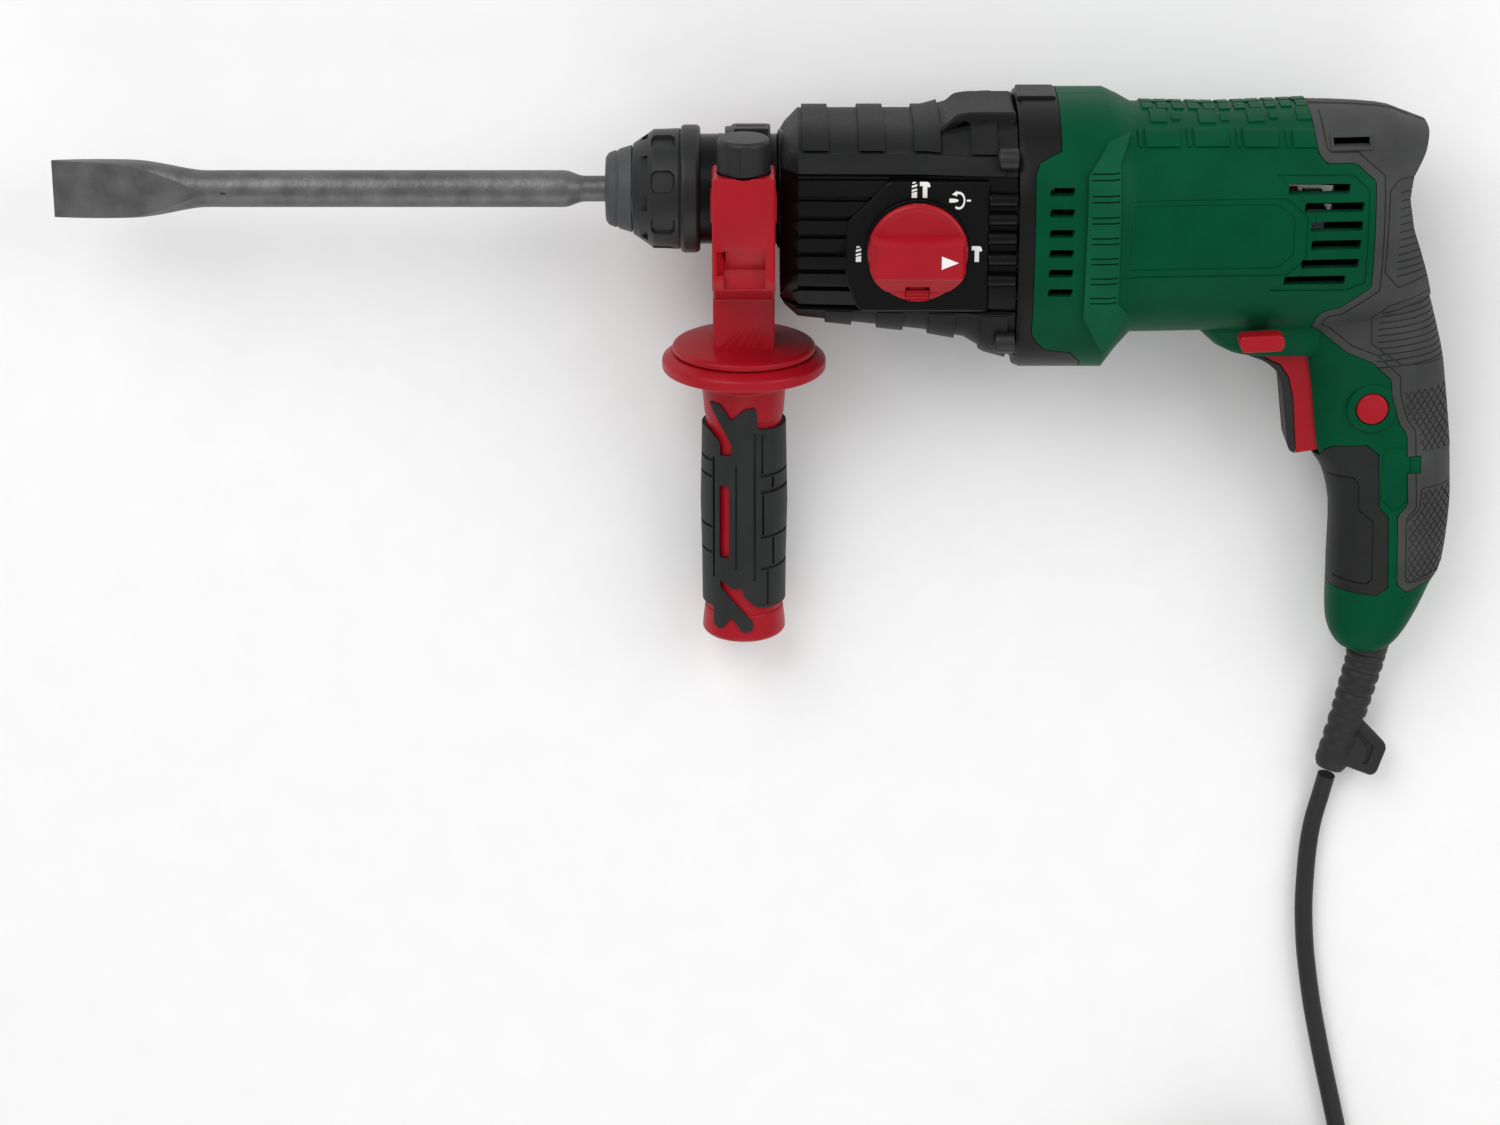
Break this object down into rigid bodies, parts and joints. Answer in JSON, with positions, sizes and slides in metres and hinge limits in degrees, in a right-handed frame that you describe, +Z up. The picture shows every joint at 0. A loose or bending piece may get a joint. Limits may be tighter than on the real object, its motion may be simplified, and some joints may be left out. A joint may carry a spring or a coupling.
{
  "type": "rotary hammer",
  "caption": "Corded rotary hammer with flat chisel, side handle, mode knob, trigger, pistol grip and coiled mains cord, lying on its right side.",
  "frame": {"origin": "centre of the tool's bounding box on the bench, without the cord", "axes": "+X from the chuck back to the pistol grip along the spindle, +Y towards the tool's top edge, +Z up from the bench"},
  "size_m": [0.548, 0.5619, 0.0984],
  "materials": {
    "green_shell": "satin",
    "black_rubber": "matte",
    "black_plastic": "satin",
    "dark_grey_plastic": "satin",
    "black_casting": "semi-gloss",
    "red_plastic": "satin gloss",
    "steel": "machined",
    "dark_steel": "oiled",
    "copper": "enamelled",
    "lamination": "satin",
    "carbon": "matte",
    "fan_plastic": "satin",
    "cord_rubber": "matte"
  },
  "bodies": {
    "housing": {"housing_left": "green_shell", "housing_right": "green_shell", "rear_overmould_left": "black_rubber", "rear_overmould_right": "black_rubber", "front_grip_left": "black_rubber", "front_grip_right": "black_rubber", "housing_collar": "dark_grey_plastic", "gear_case": "black_casting", "gear_jacket_upper": "black_rubber", "gear_jacket_lower": "black_rubber", "inner_support": "black_casting", "bearing_plate": "black_casting", "stator_core": "lamination", "stator_winding_front": "copper", "stator_winding_rear": "copper", "motor_bearing_front": "steel", "motor_bearing_rear": "steel", "carbon_brush_left": "carbon", "carbon_brush_right": "carbon", "switch_module": "black_plastic", "cord_clamp": "black_plastic", "strain_relief": "cord_rubber", "spindle_bearing_front": "steel", "housing_screw_1": "steel", "housing_screw_2": "steel", "power_cord": "cord_rubber", "cord_coil": "cord_rubber", "plug": "cord_rubber"},
    "spindle": {"spindle": "steel", "spindle_gear": "steel", "dust_cap": "black_rubber", "locking_ball": "steel", "sleeve_spring": "steel"},
    "locking_sleeve": {"locking_sleeve": "black_plastic", "ball_retainer": "steel"},
    "chisel": {"chisel": "dark_steel"},
    "impact_bolt": {"impact_bolt": "dark_steel"},
    "piston": {"piston": "lamination"},
    "striker": {"striker": "dark_steel"},
    "wobble_drive": {"wobble_plate": "steel", "piston_pin": "steel"},
    "countershaft": {"countershaft": "steel", "countershaft_gear": "steel"},
    "countershaft_pinion": {"countershaft_pinion": "steel"},
    "armature": {"armature_shaft": "steel", "armature_core": "lamination", "commutator": "copper", "fan": "fan_plastic"},
    "mode_selector": {"mode_selector": "red_plastic"},
    "selector_latch": {"selector_latch": "red_plastic"},
    "trigger": {"trigger": "red_plastic", "trigger_face": "black_plastic"},
    "lock_button": {"lock_button": "red_plastic"},
    "direction_lever": {"direction_lever": "red_plastic"},
    "side_handle": {"handle_bracket": "red_plastic", "clamp_band": "black_plastic", "clamp_bolt": "steel"},
    "depth_stop_button": {"depth_stop_button": "black_plastic"},
    "side_grip": {"side_grip_core": "red_plastic", "side_grip_cover": "black_rubber"}
  },
  "joints": [
    {"name": "armature_spin", "type": "hinge", "parent": "housing", "child": "armature", "pos_m": [0.17997, 0.09085, 0.04728], "axis": [1, 0, 0], "continuous": true},
    {"name": "countershaft_spin", "type": "hinge", "parent": "housing", "child": "countershaft", "pos_m": [0.04997, 0.07412, 0.04424], "axis": [1, 0, 0], "continuous": true},
    {"name": "spindle_spin", "type": "hinge", "parent": "housing", "child": "spindle", "pos_m": [-0.00003, 0.10167, 0.04925], "axis": [1, 0, 0], "continuous": true},
    {"name": "countershaft_pinion_spin", "type": "hinge", "parent": "housing", "child": "countershaft_pinion", "pos_m": [0.05197, 0.07412, 0.04424], "axis": [1, 0, 0], "continuous": true},
    {"name": "sleeve_pull", "type": "slide", "parent": "spindle", "child": "locking_sleeve", "axis": [1, 0, 0], "range_m": [0, 0.0045], "stiffness_N_per_m": 900, "springref_m": -0.006, "deforming": ["sleeve_spring"]},
    {"name": "chisel_slide", "type": "slide", "parent": "spindle", "child": "chisel", "axis": [1, 0, 0], "range_m": [0, 0.006]},
    {"name": "impact_bolt_slide", "type": "slide", "parent": "spindle", "child": "impact_bolt", "axis": [1, 0, 0], "range_m": [0, 0.004]},
    {"name": "piston_slide", "type": "slide", "parent": "housing", "child": "piston", "axis": [1, 0, 0], "range_m": [-0.0068, 0.0068]},
    {"name": "wobble_rock", "type": "hinge", "parent": "housing", "child": "wobble_drive", "pos_m": [0.07697, 0.07412, 0.04424], "axis": [0, 0.1788, -0.9839], "range_deg": [-14, 14]},
    {"name": "striker_slide", "type": "slide", "parent": "piston", "child": "striker", "axis": [1, 0, 0], "range_m": [-0.003, 0.003]},
    {"name": "mode_selector_turn", "type": "hinge", "parent": "housing", "child": "mode_selector", "pos_m": [0.05907, 0.08217, 0.08941], "axis": [0, 0.1788, -0.9839], "range_deg": [0, 180]},
    {"name": "selector_latch_press", "type": "slide", "parent": "mode_selector", "child": "selector_latch", "axis": [0, 0.9839, 0.1788], "range_m": [0, 0.0018], "stiffness_N_per_m": 500, "springref_m": -0.002},
    {"name": "trigger_squeeze", "type": "slide", "parent": "housing", "child": "trigger", "axis": [1, 0, 0], "range_m": [0, 0.006], "stiffness_N_per_m": 1500, "springref_m": -0.004},
    {"name": "lock_button_press", "type": "slide", "parent": "housing", "child": "lock_button", "axis": [0, 0.1788, -0.9839], "range_m": [0, 0.0025], "stiffness_N_per_m": 1200, "springref_m": -0.002},
    {"name": "direction_lever_turn", "type": "hinge", "parent": "housing", "child": "direction_lever", "pos_m": [0.20197, 0.04657, 0.03924], "axis": [0, 0.9839, 0.1788], "range_deg": [-7, 7]},
    {"name": "side_handle_swing", "type": "hinge", "parent": "housing", "child": "side_handle", "pos_m": [-0.00673, 0.10167, 0.04925], "axis": [1, 0, 0], "continuous": true},
    {"name": "depth_stop_button_press", "type": "slide", "parent": "side_handle", "child": "depth_stop_button", "axis": [0, -0.9839, -0.1788], "range_m": [0, 0.0024], "stiffness_N_per_m": 800, "springref_m": -0.003},
    {"name": "side_grip_twist", "type": "hinge", "parent": "side_handle", "child": "side_grip", "pos_m": [-0.00673, -0.0164, 0.02779], "axis": [0, 0.9839, 0.1788], "range_deg": [0, 360]}
  ],
  "couplings": [
    {"joint": "countershaft_spin", "follows": "armature_spin", "ratio": -0.30769},
    {"joint": "countershaft_pinion_spin", "follows": "spindle_spin", "ratio": -3.3077},
    {"joint": "wobble_rock", "follows": "piston_slide", "rad_per_m": 35.714}
  ]
}
